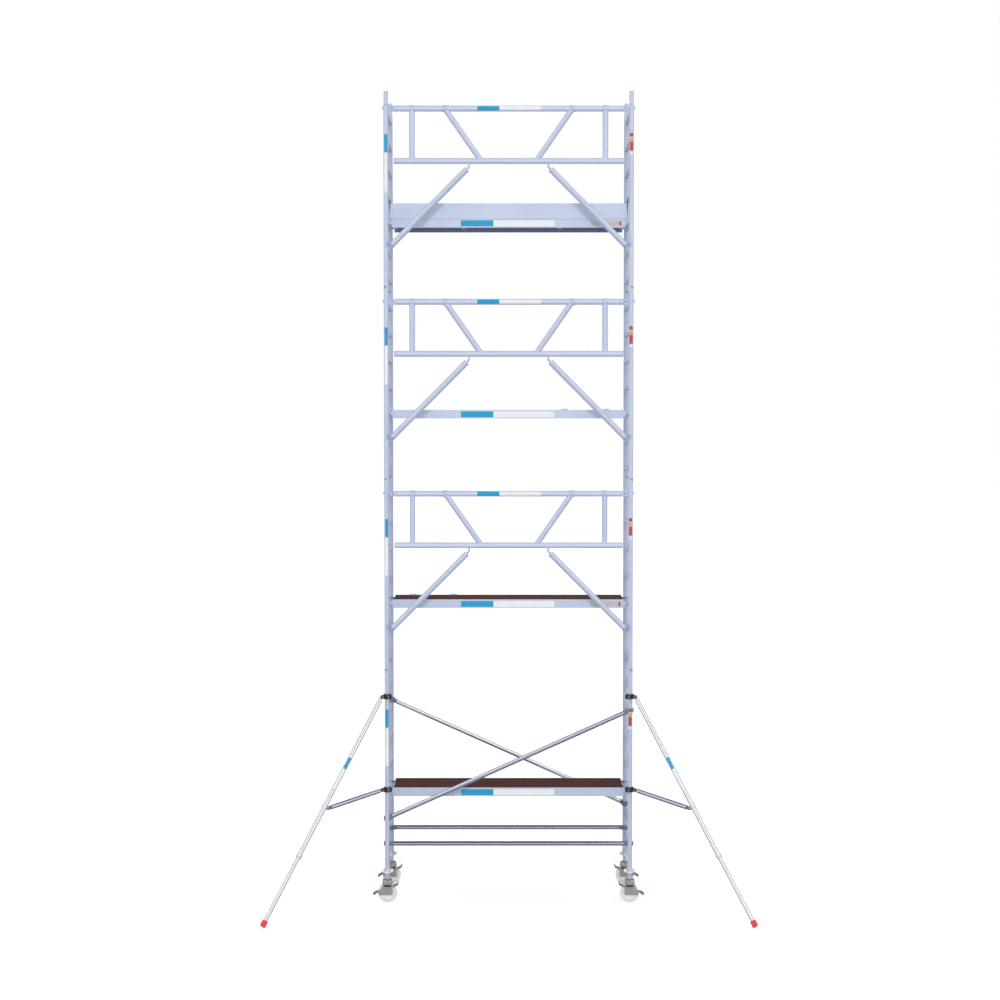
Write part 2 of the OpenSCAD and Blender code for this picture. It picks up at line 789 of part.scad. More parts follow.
module toe_board_clips() {
  long = half_bay - toe_end;
  color(black) at_platform(lifts) for (sx = [-1, 1], sy = [-1, 1])
    mirror([sx < 0 ? 1 : 0, 0, 0]) mirror([0, sy < 0 ? 1 : 0, 0])
      translate([long + weld, plat_w / 2 + toe_out - toe_t, beam_h + toe_h * 0.1]) {
        cube([toe_clip_t, toe_t + 3, toe_h * 1.05]);
        translate([-30, toe_t + weld, 0]) cube([30 + toe_clip_t, 3 - weld, toe_h * 0.6]);
      }
}

// Castor, drawn about the post's middle with the pedal towards +X

module at_castor(s, row) {
  on_side(s) translate([half_bay, y_near + row * frame_w, 0]) children();
}

module adjusting_nut() {
  difference() {
    union() {
      cylinder(d = nut_d, h = nut_h);
      cylinder(d = nut_d + 10, h = 14);
      for (a = [0:90:270]) rotate(a) translate([0, -wing_t / 2, 6]) cube([wing_r, wing_t, nut_h - 14]);
    }
    translate([0, 0, -cut]) cylinder(d = spindle_d + 2 * nut_play, h = nut_h);
    translate([0, 0, nut_h - nut_cup]) cylinder(d = post_d + 2 * jaw_play, h = nut_h);
  }
}

module adjusting_nuts() {
  color(pale) for (s = [-1, 1], r = [0, 1]) at_castor(s, r) translate([0, 0, nut_z]) adjusting_nut();
}

module spindle(s, row) {
  foot = crown_top + flange_gap;
  top = base_h + spindle_in;
  groove_d = spindle_d - 2 * thread_h;
  color(bright) at_castor(s, row) difference() {
    union() {
      translate([0, 0, foot]) cylinder(d = flange_d, h = flange_t);
      translate([0, 0, foot]) cylinder(d = spindle_d, h = top - foot);
      translate([0, 0, roof_z + 1]) cylinder(d = king_d, h = foot - roof_z);
    }
    translate([0, 0, foot + flange_t + 6]) cylinder(d = spindle_d - 2 * spindle_wall - 2 * thread_h, h = top);
    for (z = [foot + flange_t + 8:thread_pitch:top - thread_pitch])
      translate([0, 0, z]) difference() {
        cylinder(d = spindle_d + 2 * cut, h = thread_pitch / 2);
        translate([0, 0, -cut]) cylinder(d = groove_d, h = thread_pitch);
      }
  }
}

module cheek_2d() {
  half = crown_d / 2 - band_in;
  top = crown_top - cheek_bevel;
  polygon([[-half, top], [half, top], [half, band_z + cheek_bevel], [cheek_fore, cheek_low + cheek_bevel],
           [cheek_fore - cheek_bevel, cheek_low], [cheek_bevel - cheek_aft, cheek_low],
           [-cheek_aft, cheek_low + cheek_bevel], [-half, band_z - cheek_bevel]]);
}

module castor_fork(s, row) {
  bolt_r = crown_d * 0.4;
  neck_z = band_z + band_h;
  color(taupe) at_castor(s, row) {
    difference() {
      union() {
        translate([0, 0, band_z]) cylinder(d = crown_d - 2 * band_in, h = band_h + cut);
        translate([0, 0, neck_z]) cylinder(d = crown_d, h = crown_top - neck_z);
        for (y = [-1, 1]) translate([0, y * (cheek_in + cheek_t / 2), 0])
          rotate([90, 0, 0]) linear_extrude(cheek_t, center = true) cheek_2d();
        for (a = [0:90:270]) rotate(a) translate([bolt_r, 0, crown_top - cut])
          cylinder(d = bolt_d, h = flange_gap - bolt_gap + cut, $fn = 6);
      }
      translate([-crown_d, -cheek_in, -cut]) cube([2 * crown_d, 2 * cheek_in, roof_z + cut]);
      translate([0, 0, roof_z - cut]) cylinder(d = king_d + 2 * king_play, h = crown_top);
      translate([0, 0, rock_z]) rotate([90, 0, 0])
        cylinder(d = rock_pin_d + 2 * rock_play, h = crown_d + 2 * cut, center = true);
    }
    translate([0, 0, wheel_r]) rotate([90, 0, 0]) cylinder(d = axle_d, h = 2 * cheek_out + 8, center = true);
    for (y = [-1, 1]) translate([0, y * (cheek_out + 3), wheel_r]) rotate([90, 0, 0])
      cylinder(d = 28, h = 8, $fn = 6, center = true);
  }
}

module wheel(s, row) {
  bore = axle_d / 2 + axle_play;
  rim = wheel_r - tyre_h;
  half = wheel_w / 2;
  web = web_w / 2;
  color(pale) at_castor(s, row) translate([0, 0, wheel_r]) rotate([90, 0, 0]) rotate_extrude() polygon([
    [bore, -half], [hub_d / 2, -half], [hub_d / 2 + 3, -web], [rim - 3, -web], [rim, -half + 1],
    [rim + 2, -half + 1], [rim + 3, -half + 4], [wheel_r - 5, -half + 4], [wheel_r - 1.5, -half + 9],
    [wheel_r, 0], [wheel_r - 1.5, half - 9], [wheel_r - 5, half - 4], [rim + 3, half - 4],
    [rim + 2, half - 1], [rim, half - 1], [rim - 3, web], [hub_d / 2 + 3, web], [hub_d / 2, half],
    [bore, half]]);
}

// Side view of the pedal, which tapers and falls away from the shoe
module pedal_2d() {
  root = shoe_x + shoe_t - cut;
  half = pedal_t / 2;
  polygon([[root, -half], [pedal_r - half, -half - pedal_drop], [pedal_r, -pedal_drop - 2],
           [pedal_r - 4, half - pedal_drop], [root + shoe_t, half], [root, half]]);
}

// Side view of the release tab, which rises away from the bridge
module tab_2d() {
  root = bridge_in + shoe_t - cut;
  half = arm_h / 2;
  polygon([[-root, -half], [-root, half], [-tab_r + half, tab_up + 4], [-tab_r, tab_up - 2],
           [-root - half, -half]]);
}

// Brake rocker: two arms beside the wheel, a shoe with the pedal outside, a bridge with the tab inside
module brake(s, row) {
  out = arm_y + arm_t;
  color(taupe) at_castor(s, row) translate([0, 0, rock_z]) rotate([0, rock_tilt, 0]) {
    for (y = [-1, 1]) {
      translate([0, y * (arm_y + arm_t / 2), 0]) rotate([90, 0, 0]) linear_extrude(arm_t, center = true) {
        circle(d = arm_h + 8);
        translate([-bridge_in - shoe_t, -arm_h / 2]) square([bridge_in + 2 * shoe_t + shoe_x, arm_h]);
      }
      translate([0, y * (arm_y + cheek_out + 3) / 2, 0]) rotate([90, 0, 0])
        cylinder(d = rock_pin_d, h = cheek_out + 3 - arm_y, center = true);
    }
    translate([shoe_x, -out, -arm_h / 2]) cube([shoe_t, 2 * out, arm_h]);
    rotate([90, 0, 0]) linear_extrude(pedal_w, center = true) pedal_2d();
    translate([-bridge_in - shoe_t, -out, -arm_h / 2]) cube([shoe_t, 2 * out, arm_h]);
    rotate([90, 0, 0]) linear_extrude(pedal_w, center = true) tab_2d();
  }
}

// Stabiliser, drawn for the right side about the post's middle with +X along its reach

module at_stabiliser(s) {
  on_side(s) translate([half_bay, y_near, 0]) rotate(-stab_turn) children();
}

// Put a piece on the leg, s along it, with +X towards the tower
module on_leg(s) {
  translate([pivot_out, 0, stab_high]) rotate([0, 180 - leg_a, 0]) translate([0, 0, s]) children();
}

module ear(r, len) {
  rotate([90, 0, 0]) linear_extrude(ear_t, center = true) {
    circle(r = r);
    translate([-len, -r]) square([len, 2 * r]);
  }
}

module eye_pin() {
  half = blade_t / 2 + jaw_play + ear_t;
  rotate([90, 0, 0]) cylinder(d = stab_pin_d, h = 2 * half + 4, center = true);
  for (y = [-1, 1]) translate([0, y * (half + 3), 0]) rotate([90, 0, 0])
    cylinder(d = 1.7 * stab_pin_d, h = 7, $fn = 6, center = true);
}

module clamp() {
  od = post_d + 2 * clamp_wall;
  lug_y = blade_t / 2 + jaw_play + ear_t / 2;
  difference() {
    union() {
      cylinder(d = od, h = clamp_h, center = true);
      for (y = [-1, 1]) translate([pivot_out, y * lug_y, 0]) ear(eye_r, pivot_out - post_r - 5);
      translate([-14, -od / 2 - 18, -clamp_h * 0.4]) cube([28, 24, clamp_h * 0.8]);
    }
    cylinder(d = post_d + 2 * clamp_play, h = 2 * clamp_h, center = true);
    translate([-clamp_split / 2, -od, -clamp_h]) cube([clamp_split, od, 2 * clamp_h]);
    translate([pivot_out, 0, 0]) rotate([90, 0, 0])
      cylinder(r = eye_r + 4, h = blade_t + 2 * jaw_play, center = true);
  }
  translate([pivot_out, 0, 0]) eye_pin();
  translate([0, -od / 2 - 9, 0]) rotate([0, 90, 0]) cylinder(d = 10, h = 54, center = true);
  translate([27, -od / 2 - 9, 0]) rotate([0, 90, 0]) cylinder(d = 20, h = 12, center = true);
  for (z = [-1, 1]) translate([24, -od / 2 - 13, z * 14 - 9]) cube([7, 8, 18]);
}

module stabiliser_clamps(s) {
  color(black) at_stabiliser(s) for (z = [stab_high, stab_low]) translate([0, 0, z]) clamp();
}

// Blade with an eye at the origin, and a plug into a tube that starts at tube_start along +Z
module blade(plug_d) {
  difference() {
    union() {
      rotate([90, 0, 0]) cylinder(r = eye_r - 1, h = blade_t, center = true);
      translate([-eye_r + 3, -blade_t / 2, 0]) cube([2 * eye_r - 6, blade_t, tube_start + 2 * weld]);
      translate([0, 0, tube_start + weld]) cylinder(d = plug_d, h = plug_len / 2);
    }
    rotate([90, 0, 0]) cylinder(d = stab_pin_d + 2 * stab_pin_play, h = 2 * blade_t, center = true);
  }
}

module stabiliser_leg(s) {
  lug_y = blade_t / 2 + jaw_play + ear_t / 2;
  plug = leg_d - 2 * leg_wall - 2 * weld;
  strut_plug = stab_strut_d - 2 * leg_wall - 2 * weld;
  collar_d = leg_d + 9;
  color(bright) at_stabiliser(s) {
    on_leg(0) blade(plug);
    on_leg(tube_start) tube(leg_d, leg_wall, leg_outer - tube_start);
    on_leg(leg_outer - 45) tube(collar_d, (collar_d - leg_d) / 2 - weld, 45);
    on_leg(leg_outer - 25) rotate([90, 0, 0]) translate([0, 0, collar_d / 2 - 2]) cylinder(d = 14, h = 16);
    on_leg(strut_at - 24) tube(collar_d, (collar_d - leg_d) / 2 - weld, 48);
    on_leg(strut_at) {
      for (y = [-1, 1]) difference() {
        translate([strut_off, y * lug_y, 0]) ear(eye_r, strut_off - leg_d / 2 - 2);
        translate([0, 0, -2 * eye_r]) cylinder(d = leg_d + 2 * weld, h = 4 * eye_r);
      }
      translate([strut_off, 0, 0]) eye_pin();
    }
    along(strut_top, strut_foot) {
      blade(strut_plug);
      translate([0, 0, tube_start])
        tube(stab_strut_d, leg_wall, norm(strut_foot - strut_top) - 2 * tube_start);
    }
    along(strut_foot, strut_top) blade(strut_plug);
  }
}

module stabiliser_inner(s) {
  color(alu) at_stabiliser(s) on_leg(leg_len - foot_end - leg_inner) tube(inner_d, leg_wall, leg_inner);
}

// Rubber foot with a rounded lower edge
module stabiliser_foot(s) {
  bore = inner_d / 2 + weld;
  flat = foot_r - foot_round;
  arc = [for (t = [0:7.5:90]) [flat + foot_round * sin(t), -foot_round + foot_round * cos(t)]];
  color(red) at_stabiliser(s) on_leg(leg_len) rotate_extrude() polygon(concat(
    [[0, 0]], arc,
    [[foot_r, -foot_len], [bore, -foot_len], [bore, -foot_end], [0, -foot_end]]));
}

// Draw the chosen node
for (s = sides, k = [1:lifts])
  ladder_frame(s[1], k);
lock_clips();
adjusting_nuts();
diagonal_brace(0);  // diagonal_brace_near
diagonal_brace(1);  // diagonal_brace_far
horizontal_brace(0);  // horizontal_brace_near
horizontal_brace(1);  // horizontal_brace_far
for (k = rail_lifts)
  guardrail(k);
for (s = sides, k = rail_lifts)
  guard_brace(s[1], k);
for (k = [1:lifts])
  platform_frame(k);
for (k = [1:lifts])
  deck(k);
for (k = [2:lifts])
  hatch(k);
toe_boards();
toe_board_clips();
for (s = sides, r = rows)
  spindle(s[1], r[1]);
for (s = sides, r = rows)
  castor_fork(s[1], r[1]);
for (s = sides, r = rows)
  wheel(s[1], r[1]);
for (s = sides, r = rows)
  brake(s[1], r[1]);
for (s = sides)
  stabiliser_clamps(s[1]);
for (s = sides)
  stabiliser_leg(s[1]);
for (s = sides)
  stabiliser_inner(s[1]);
for (s = sides)
  stabiliser_foot(s[1]);
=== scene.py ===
import bpy
import bmesh
import math
from mathutils import Matrix, Vector


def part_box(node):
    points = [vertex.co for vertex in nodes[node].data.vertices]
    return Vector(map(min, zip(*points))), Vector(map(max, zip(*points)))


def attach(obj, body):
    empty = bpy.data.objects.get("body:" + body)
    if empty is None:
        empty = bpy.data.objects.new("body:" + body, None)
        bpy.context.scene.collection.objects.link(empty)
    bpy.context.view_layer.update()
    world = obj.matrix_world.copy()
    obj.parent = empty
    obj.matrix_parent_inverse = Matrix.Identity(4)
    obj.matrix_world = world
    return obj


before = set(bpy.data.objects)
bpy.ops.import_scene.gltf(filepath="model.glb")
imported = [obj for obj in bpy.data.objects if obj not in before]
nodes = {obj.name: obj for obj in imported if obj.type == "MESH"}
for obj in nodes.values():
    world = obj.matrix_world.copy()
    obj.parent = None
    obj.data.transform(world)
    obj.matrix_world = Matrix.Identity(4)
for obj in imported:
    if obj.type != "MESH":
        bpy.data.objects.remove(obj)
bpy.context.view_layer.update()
scene = bpy.context.scene


# Sizes and places on the tower, in metres and radians

# Ladder frames: the posts, half the bay, the foot of the lowest frame, the lifts and the rungs
lo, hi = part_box("frame_left_1")
POST_R = 0.025
Y_NEAR, Y_FAR = lo[1] + POST_R, hi[1] - POST_R
HALF = 1.25
BASE = lo[2]
LIFT = 1.96
LIFTS = (1, 2, 3, 4)
RUNGS = 7
RUNG_FIRST, RUNG_PITCH, RUNG_R = 0.215, 0.28, 0.022
SIDES = (("left", -1), ("right", 1))
ROWS = (("near", Y_NEAR), ("far", Y_FAR))

# How far the middle of a facet may lie past its tube's end or radius
SKIN = 0.0005
POST_SKIN = 0.0006

# Guardrails: the top rail's drop under its lift, the gap between the rails, the tubes' end
# and the struts
RAIL_LIFTS = (2, 3, 4)
RAIL_R = 0.03
RAIL_DROP = 0.03
RAIL_GAP = 0.53
RAIL_END = HALF - 0.084
STRUT_X, LEANING_X = 0.985, 0.65

# Guardrail braces: the pivot, the angle to the post, and the part of the length that is tube
GUARD_PIVOT_X, GUARD_PIVOT_DROP = 0.406, 0.062
GUARD_ANGLE = math.radians(44.8)
GUARD_TUBE = (0.03, 1.1073)

# Horizontal and diagonal braces: tube, jaw and heights over the foot of the lowest frame
BRACE_R = 0.023
BRACE_JAW = 0.062
HORIZONTAL_Z = 0.279
DIAGONAL_LOW, DIAGONAL_HIGH = 0.54, 1.66

# Platforms: width of the beams, rise of the hinges over the deck, flange of the toe boards' clips
BEAM_W = 0.03
HINGE_RISE = 0.0003
CLIP_WALL = HALF - 0.0362

# Castors and spindles, by height over the floor and radius from their axis
NUT_COLLAR_R = 0.0335
FLANGE_TOP = 0.2356
CROWN_TOP = (0.205, 0.2112)
BAND_Z, BAND_R = (0.1595, 0.1805), (0.045, 0.05)
AXLE_Z, HUB_R, TREAD_R = 0.0975, 0.02, 0.0765
PEDAL_START = 0.1

# Stabilisers: turn round the post, lean of the leg, its head, and the ends of the clamps' bolts
TURN = math.radians(44)
LEAN = math.radians(36.228893)
LEG_R = 0.023
LEG_OUT, LEG_HIGH = 0.072, 2.126
LEG_REACH = 0.03
PIVOT_BOLT_OUT, PIVOT_BOLT_SIDE = 0.05, 0.0156
CLAMP_BOLT_BACK, CLAMP_BOLT_SIDE = 0.0385, 0.0142


def rail_top(k):
    return BASE + k * LIFT - RAIL_DROP


# Materials

def new_material(name):
    m = bpy.data.materials.new(name)
    m.use_nodes = True
    nt = m.node_tree
    return m, nt, nt.nodes["Principled BSDF"]


def noise(nt, scale, stretch=(1, 1, 1), detail=4.0, rough=0.55):
    co = nt.nodes.new("ShaderNodeTexCoord")
    mp = nt.nodes.new("ShaderNodeMapping")
    mp.inputs["Scale"].default_value = stretch
    tx = nt.nodes.new("ShaderNodeTexNoise")
    tx.inputs["Scale"].default_value = scale
    tx.inputs["Detail"].default_value = detail
    tx.inputs["Roughness"].default_value = rough
    nt.links.new(co.outputs["Object"], mp.inputs["Vector"])
    nt.links.new(mp.outputs["Vector"], tx.inputs["Vector"])
    return tx.outputs["Fac"]


def ramp(nt, fac, stops):
    r = nt.nodes.new("ShaderNodeValToRGB")
    el = r.color_ramp.elements
    while len(el) < len(stops):
        el.new(0.5)
    for e, (p, c) in zip(el, stops):
        e.position = p
        e.color = (*c, 1.0)
    nt.links.new(fac, r.inputs["Fac"])
    return r.outputs["Color"]


def mix(nt, fac, a, b, mode="MIX"):
    n = nt.nodes.new("ShaderNodeMix")
    n.data_type = "RGBA"
    n.blend_type = mode
    for sock, v in ((n.inputs[0], fac), (n.inputs[6], a), (n.inputs[7], b)):
        if isinstance(v, (int, float)):
            sock.default_value = v
        elif isinstance(v, tuple):
            sock.default_value = (*v, 1.0)
        else:
            nt.links.new(v, sock)
    return n.outputs[2]


def highest(nt, a, b):
    n = nt.nodes.new("ShaderNodeMath")
    n.operation = "MAXIMUM"
    nt.links.new(a, n.inputs[0])
    nt.links.new(b, n.inputs[1])
    return n.outputs[0]


def spread(nt, fac, low, high):
    """Bring the middle of a noise to the range from low to high."""
    n = nt.nodes.new("ShaderNodeMapRange")
    n.inputs["From Min"].default_value = 0.3
    n.inputs["From Max"].default_value = 0.7
    n.inputs["To Min"].default_value = low
    n.inputs["To Max"].default_value = high
    nt.links.new(fac, n.inputs["Value"])
    return n.outputs["Result"]


def bump(nt, bsdf, height, strength, distance):
    b = nt.nodes.new("ShaderNodeBump")
    b.inputs["Strength"].default_value = strength
    b.inputs["Distance"].default_value = distance
    nt.links.new(height, b.inputs["Height"])
    nt.links.new(b.outputs["Normal"], bsdf.inputs["Normal"])


def lin(r, g, b):
    """Linear colour from sRGB levels of 0 to 255."""
    def one(v):
        v /= 255.0
        return v / 12.92 if v <= 0.04045 else ((v + 0.055) / 1.055) ** 2.4
    return (one(r), one(g), one(b))


def shade(c, k):
    return tuple(min(1.0, v * k) for v in c)


def cloudy(nt, color, fac, vary):
    """Slow change of a colour, darker and lighter by vary."""
    return ramp(nt, fac, [(0.3, shade(color, 1 - vary)), (0.7, shade(color, 1 + vary))])


def even(scale):
    return (scale, scale, scale)


def metal(name, color, stretch, metallic=0.35, rough=(0.34, 0.46), vary=0.025,
          strength=0.03, edge=0.5):
    """Extruded metal: streaks along the tube, cloudy handling marks and fine scratches."""
    m, nt, b = new_material(name)
    b.inputs["Metallic"].default_value = metallic
    b.inputs["Specular Tint"].default_value = (edge, edge, edge * 1.12, 1.0)
    streak = noise(nt, 6.0, stretch, 6.0, 0.6)
    cloud = noise(nt, 3.0, detail=3.0)
    fine = noise(nt, 90.0, detail=2.0)
    marks = ramp(nt, cloud, [(0.45, (0, 0, 0)), (0.75, (0.35, 0.35, 0.35))])
    col = mix(nt, marks, cloudy(nt, color, streak, vary), shade(color, 0.9))
    nt.links.new(col, b.inputs["Base Color"])
    nt.links.new(spread(nt, cloud, *rough), b.inputs["Roughness"])
    height = nt.nodes.new("ShaderNodeMath")
    height.operation = "MULTIPLY_ADD"
    nt.links.new(fine, height.inputs[0])
    height.inputs[1].default_value = 0.25
    nt.links.new(streak, height.inputs[2])
    bump(nt, b, height.outputs[0], strength, 0.0006)
    return m


def plastic(name, color, rough=(0.45, 0.6), vary=0.06, strength=0.2):
    """Moulded plastic or rubber: fine grain with slow colour change."""
    m, nt, b = new_material(name)
    grain = noise(nt, 220.0, detail=2.0)
    cloud = noise(nt, 14.0, detail=4.0)
    nt.links.new(cloudy(nt, color, cloud, vary), b.inputs["Base Color"])
    nt.links.new(spread(nt, cloud, *rough), b.inputs["Roughness"])
    bump(nt, b, grain, strength, 0.0004)
    return m


def bright_tube(name, color):
    """Drawn tube that mirrors the studio."""
    return metal(name, color, even(6), metallic=1.0, rough=(0.12, 0.18),
                 vary=0.04, strength=0.008, edge=0.1)


def cast(name, color, vary):
    """Cast aluminium of the jaws, hooks and clamps."""
    return metal(name, color, even(10), rough=(0.3, 0.5), vary=vary, strength=0.2)


def painted(name, color, rough):
    """Grey steel of the castors."""
    return metal(name, color, even(8), rough=rough, vary=0.1)


def plate(name, color, vary):
    """Smooth film of the colour plates."""
    return plastic(name, color, (0.3, 0.4), vary, 0.05)


ALONG_X, ALONG_Y, ALONG_Z = (0.25, 40, 40), (40, 0.25, 40), (40, 40, 0.25)
ALU = lin(204, 215, 236)
# Lit and shaded copies of one aluminium: the factor on ALU paints light and shade part by part,
# lighter on the rails, darker on the posts, rungs, struts and beams.
alu_z = metal("alu_post", shade(ALU, 0.92), ALONG_Z)
alu_y = metal("alu_rung", shade(ALU, 0.9), ALONG_Y)
alu_x = metal("alu_rail", shade(ALU, 1.06), ALONG_X, vary=0.015, strength=0.015)
alu_d = metal("alu_strut", shade(ALU, 0.93), even(14), vary=0.02, strength=0.012)
alu_beam = metal("alu_beam", shade(ALU, 0.95), ALONG_X, rough=(0.3, 0.45))
# Darker copy of the beam aluminium: painted shade on the faces inside the platform frame, under the
# deck.
alu_painted_shade = metal("alu_painted_shade", lin(142, 149, 174), ALONG_X, rough=(0.45, 0.6), vary=0.08)
alu_jaw = cast("alu_jaw", lin(186, 197, 232), 0.06)
alu_hook = cast("alu_hook", lin(168, 178, 220), 0.08)
alu_clamp = cast("alu_clamp", lin(122, 130, 152), 0.08)
pin_blue = metal("pin_blue", lin(104, 112, 158), even(12), metallic=0.5, vary=0.1)
alu_weld = metal("alu_weld", shade(ALU, 0.93), even(16), rough=(0.35, 0.5), vary=0.06,
                 strength=0.2)
chrome = bright_tube("alu_brace", lin(206, 212, 228))
# Lighter copy of the brace metal for the far diagonal: painted light, for how that brace catches
# the light.
chrome_far_painted_light = bright_tube("alu_brace_far_painted_light", lin(240, 243, 252))
# Near-white copy of the tube metal for the stabiliser legs: painted highlight for the legs' bright
# core.
leg_metal_painted_highlight = metal("alu_leg_painted_highlight", lin(250, 251, 255), even(6), metallic=0.85, rough=(0.23, 0.28),
                   vary=0.015, strength=0.003, edge=0.25)
zinc = metal("zinc_fixings", lin(176, 180, 192), even(20), metallic=0.9, rough=(0.28, 0.45))
alu_spindle = metal("alu_spindle", lin(198, 204, 222), even(20), vary=0.05, strength=0.1)
taupe = painted("castor_grey", lin(166, 162, 156), (0.4, 0.55))
lever = painted("lever_grey", lin(140, 137, 131), (0.35, 0.5))
dark_steel = metal("dark_steel", lin(62, 64, 76), even(8), metallic=0.7, rough=(0.3, 0.5),
                   vary=0.12)
# Dark seal band in the recess under the castor crown; its darkness is also painted shade under the
# crown's rim.
seal_band_and_shade = plastic("seal_band_and_shade", lin(52, 50, 49))
black = plastic("black_moulding", lin(44, 44, 48), (0.4, 0.6))
red = plastic("red_rubber", lin(220, 60, 64), (0.5, 0.65))
pedal = plastic("pedal_red", lin(142, 104, 97), (0.45, 0.6), vary=0.1)
white = plastic("wheel_white", lin(231, 230, 228), (0.42, 0.55), vary=0.04)
tyre = plastic("wheel_tread", lin(218, 217, 215), (0.55, 0.7), vary=0.06)
pale = plastic("nut_pale", lin(226, 224, 222), (0.35, 0.5), vary=0.05)
cap_grey = plastic("cap_grey", lin(120, 124, 136), (0.5, 0.65))
plate_blue = plate("plate_blue", lin(28, 150, 196), 0.04)
plate_white = plate("plate_white", lin(224, 228, 232), 0.03)
plate_grey = plate("plate_grey", lin(190, 184, 178), 0.05)
plate_red = plate("plate_red", lin(176, 72, 70), 0.05)
plate_amber = plate("plate_amber", lin(214, 156, 92), 0.05)


def plywood(name, color, mesh=1.0):
    """Film-faced plywood: grain along X under a pressed mesh pattern, scuffed in places."""
    m, nt, b = new_material(name)
    b.inputs["Specular IOR Level"].default_value = 0.005
    grain = noise(nt, 5.0, (1.2, 22, 22), 7.0, 0.65)
    scuff = noise(nt, 9.0, detail=8.0, rough=0.7)
    col = ramp(nt, grain, [(0.28, shade(color, 0.72)), (0.55, color), (0.8, shade(color, 1.3))])
    worn = ramp(nt, scuff, [(0.58, (0, 0, 0)), (0.74, (0.4, 0.4, 0.4))])
    col = mix(nt, worn, col, shade(color, 1.55))
    co = nt.nodes.new("ShaderNodeTexCoord")
    waves = []
    for d in ("X", "Y"):
        w = nt.nodes.new("ShaderNodeTexWave")
        w.bands_direction = d
        w.inputs["Scale"].default_value = 38.0
        w.inputs["Distortion"].default_value = 0.3
        nt.links.new(co.outputs["Object"], w.inputs["Vector"])
        waves.append(w.outputs["Fac"])
    pressed = highest(nt, *waves)
    lines = ramp(nt, pressed, [(0.5, (1, 1, 1)), (0.95, (0.45, 0.42, 0.4))])
    nt.links.new(mix(nt, 0.14 * mesh, col, lines, "MULTIPLY"), b.inputs["Base Color"])
    nt.links.new(spread(nt, scuff, 0.5, 0.72), b.inputs["Roughness"])
    bump(nt, b, pressed, 0.35 * mesh, 0.0008)
    return m


ply_top = plywood("plywood_top", lin(81, 53, 48))
# Bluish dark plywood for the decks' undersides: painted shade, for the shade under the deck.
ply_under_painted_shade = plywood("plywood_under_painted_shade", lin(88, 92, 118), 0.2)
ply_edge = plywood("plywood_edge", lin(92, 68, 56), 0.0)


# Materials of the CAD nodes, face by face. Each pick takes a face's middle and normal

def assign(name, mats, pick=None):
    """Give a CAD node its materials. pick returns a material's place in the list."""
    me = nodes[name].data
    me.materials.clear()
    for m in mats:
        me.materials.append(m)
    for p in me.polygons:
        p.material_index = pick(p.center, p.normal) if pick else 0


def from_post(c):
    """Distance from the axis of the nearest post."""
    return min(math.hypot(c.x - sx * HALF, c.y - y) for _, sx in SIDES for _, y in ROWS)


def post_or_rung(c, n):
    return 0 if from_post(c) < POST_R + POST_SKIN else 1


def rail_pick(top):
    def pick(c, n):
        if abs(c.x) > RAIL_END + SKIN:
            return 1
        for z in (top, top - RAIL_GAP):
            if math.hypot(c.y - Y_NEAR, c.z - z) < RAIL_R + SKIN:
                return 0
        return 2
    return pick


def guard_pick(sx, pivot_z):
    def pick(c, n):
        out, down = c.x * sx - GUARD_PIVOT_X, pivot_z - c.z
        along = out * math.sin(GUARD_ANGLE) + down * math.cos(GUARD_ANGLE)
        return 0 if GUARD_TUBE[0] < along < GUARD_TUBE[1] else 1
    return pick


def brace_pick(c, n):
    return 0 if abs(c.x) < HALF - BRACE_JAW + SKIN else 1


def beam_pick(y0, y1):
    """Plain metal outside and on the cross members' walls and undersides; painted shade, a darker
    copy of the metal, on the beams' inward faces and the other faces inside the frame.
    """
    yc, yr = (y0 + y1) / 2, (y1 - y0) / 2

    def pick(c, n):
        if abs(c.y - yc) < yr - BEAM_W:
            return 0 if abs(n.x) > 0.5 or n.z < -0.5 else 1
        return 1 if (c.y - yc) * n.y < -0.01 else 0
    return pick


def deck_pick(top):
    def pick(c, n):
        if c.z > top + HINGE_RISE:
            return 3
        # Upward faces take the top plywood, downward faces the painted-shade underside, the rest
        # the edge.
        return 0 if n.z > 0.5 else 1 if n.z < -0.5 else 2
    return pick


def clip_pick(c, n):
    return 1 if abs(c.x) < CLIP_WALL else 0


def nut_pick(c, n):
    return 1 if from_post(c) < NUT_COLLAR_R and abs(n.z) < 0.5 else 0


def spindle_pick(c, n):
    return 0 if c.z > FLANGE_TOP else 2 if n.z < -0.5 else 1


def fork_pick(c, n):
    in_band = BAND_Z[0] < c.z < BAND_Z[1] and BAND_R[0] < from_post(c) < BAND_R[1]
    # The recessed band's side faces take the dark seal colour, which also paints the shade under
    # the crown's rim.
    if in_band and abs(n.z) < 0.5:
        return 1
    # The crown's upward faces under the flange take the pale plastic: painted light, so the gap
    # under the flange reads bright.
    return 2 if CROWN_TOP[0] < c.z < CROWN_TOP[1] and n.z > 0.5 else 0


def wheel_pick(c, n):
    rad = math.hypot(abs(c.x) - HALF, c.z - AXLE_Z)
    return 2 if rad < HUB_R else 1 if rad > TREAD_R else 0


def brake_pick(c, n):
    return 1 if abs(c.x) - HALF > PEDAL_START else 0


def from_stabiliser_post(c):
    """Distance from the near post, outwards along a stabiliser and across it."""
    dx, dy = abs(c.x) - HALF, c.y - Y_NEAR
    ct, st = math.cos(TURN), math.sin(TURN)
    return dx * ct - dy * st, dx * st + dy * ct


def clamp_pick(c, n):
    u, v = from_stabiliser_post(c)
    pivot_bolt = u > PIVOT_BOLT_OUT and abs(v) > PIVOT_BOLT_SIDE
    clamp_bolt = v < -CLAMP_BOLT_BACK and abs(u) > CLAMP_BOLT_SIDE
    return 1 if pivot_bolt or clamp_bolt else 0


